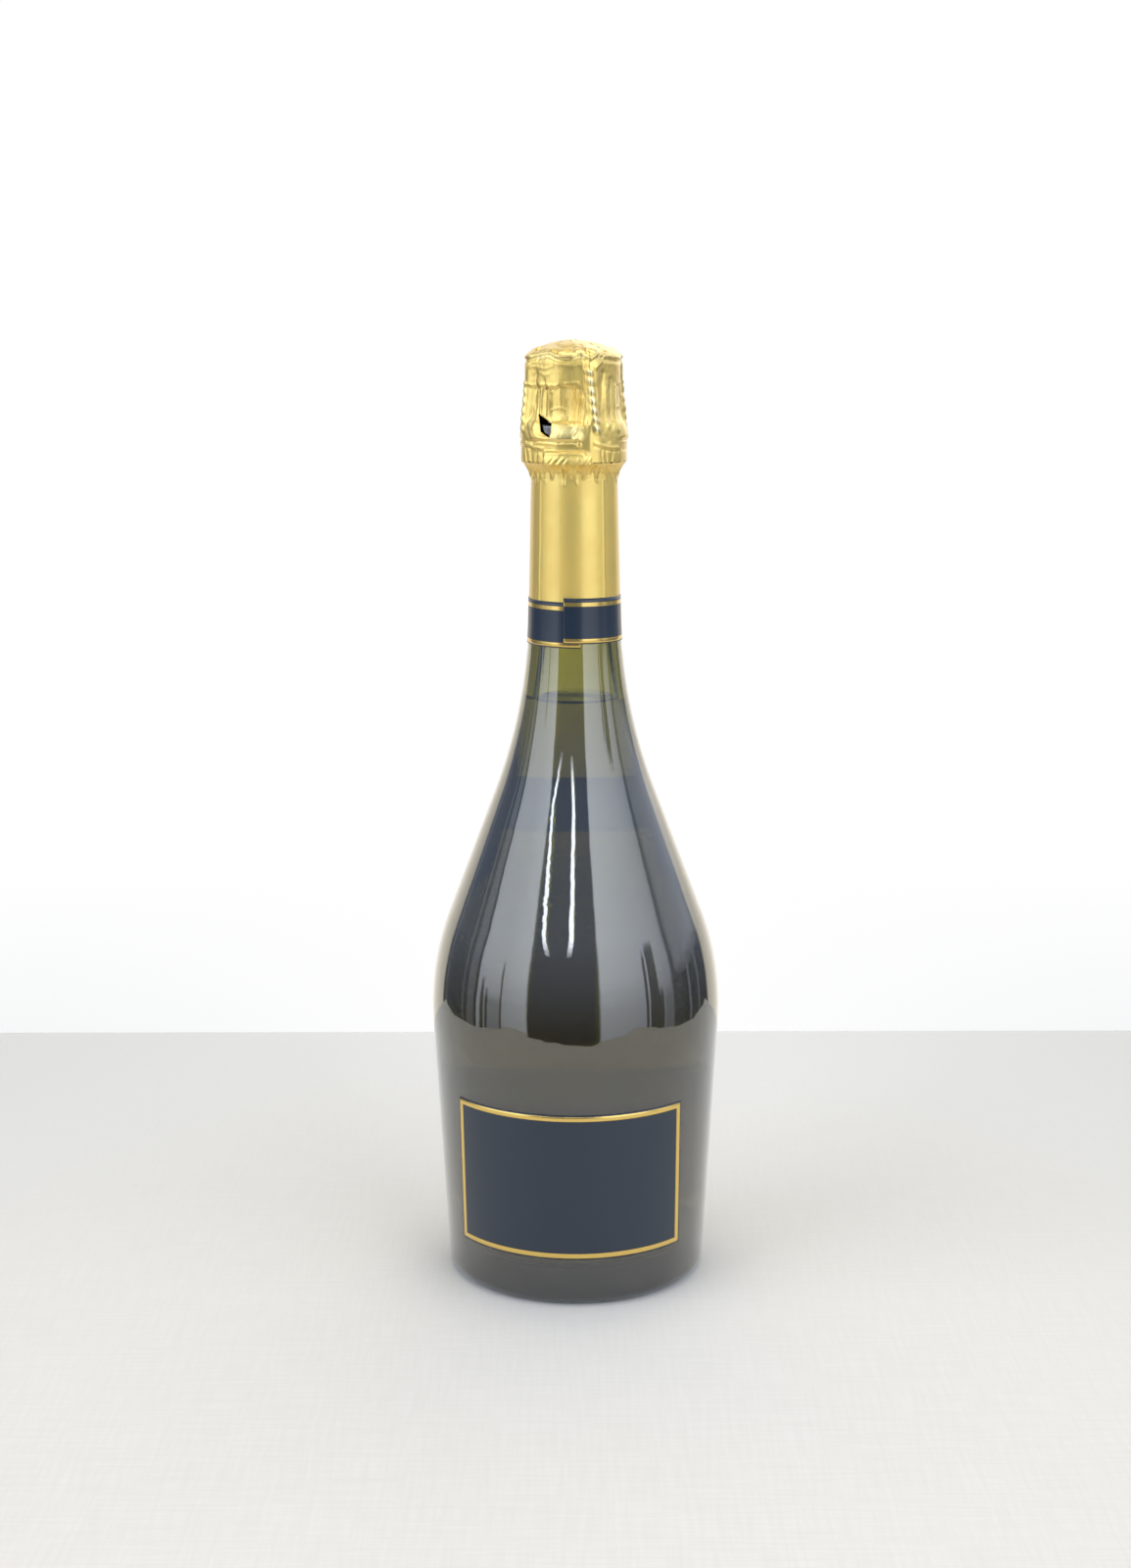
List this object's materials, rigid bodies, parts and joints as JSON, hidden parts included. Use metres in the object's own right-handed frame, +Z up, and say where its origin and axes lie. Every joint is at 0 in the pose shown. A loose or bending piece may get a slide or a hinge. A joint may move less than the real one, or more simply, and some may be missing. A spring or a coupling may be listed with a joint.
{
  "type": "champagne bottle",
  "caption": "Sparkling wine bottle, full and closed, with mushroom cork, twisted wire cage, gold foil hood, collar and plain dark labels.",
  "frame": {"origin": "centre of the standing ring, on the plane that the bottle stands on", "axes": "+Z up the bottle's axis to the foil's crown, -Y out of the back label, which faces the viewer, +X to the viewer's right"},
  "size_m": [0.0982, 0.0982, 0.318],
  "materials": {
    "bottle_glass": "polished",
    "wine_liquid": "clear liquid",
    "agglomerated_cork": "ground",
    "natural_cork": "ground",
    "galvanised_wire": "drawn",
    "lacquered_tinplate": "satin",
    "gold_foil": "satin",
    "dark_label_paper": "coated paper"
  },
  "bodies": {
    "bottle": {"glass_bottle": "bottle_glass", "wine": "wine_liquid", "foil_sleeve": "gold_foil", "collar": "dark_label_paper", "back_label": "dark_label_paper", "front_label": "dark_label_paper", "shoulder_label": "dark_label_paper"},
    "cork": {"cork_body": "agglomerated_cork", "cork_disc_upper": "natural_cork", "cork_disc_lower": "natural_cork"},
    "cage": {"plaque": "lacquered_tinplate", "cage_top_ring": "galvanised_wire", "cage_leg_1": "galvanised_wire", "cage_leg_2": "galvanised_wire", "cage_leg_3": "galvanised_wire", "cage_leg_4": "galvanised_wire", "cage_belt": "galvanised_wire", "belt_key": "galvanised_wire"},
    "hood": {"foil_hood": "gold_foil"}
  },
  "joints": [
    {"name": "cork_pull", "type": "slide", "parent": "bottle", "child": "cork", "axis": [0, 0, 1], "range_m": [0, 0.035]},
    {"name": "cage_lift", "type": "slide", "parent": "cork", "child": "cage", "axis": [0, 0, 1], "range_m": [0, 0.045]},
    {"name": "hood_lift", "type": "slide", "parent": "cage", "child": "hood", "axis": [0, 0, 1], "range_m": [0, 0.045]}
  ]
}
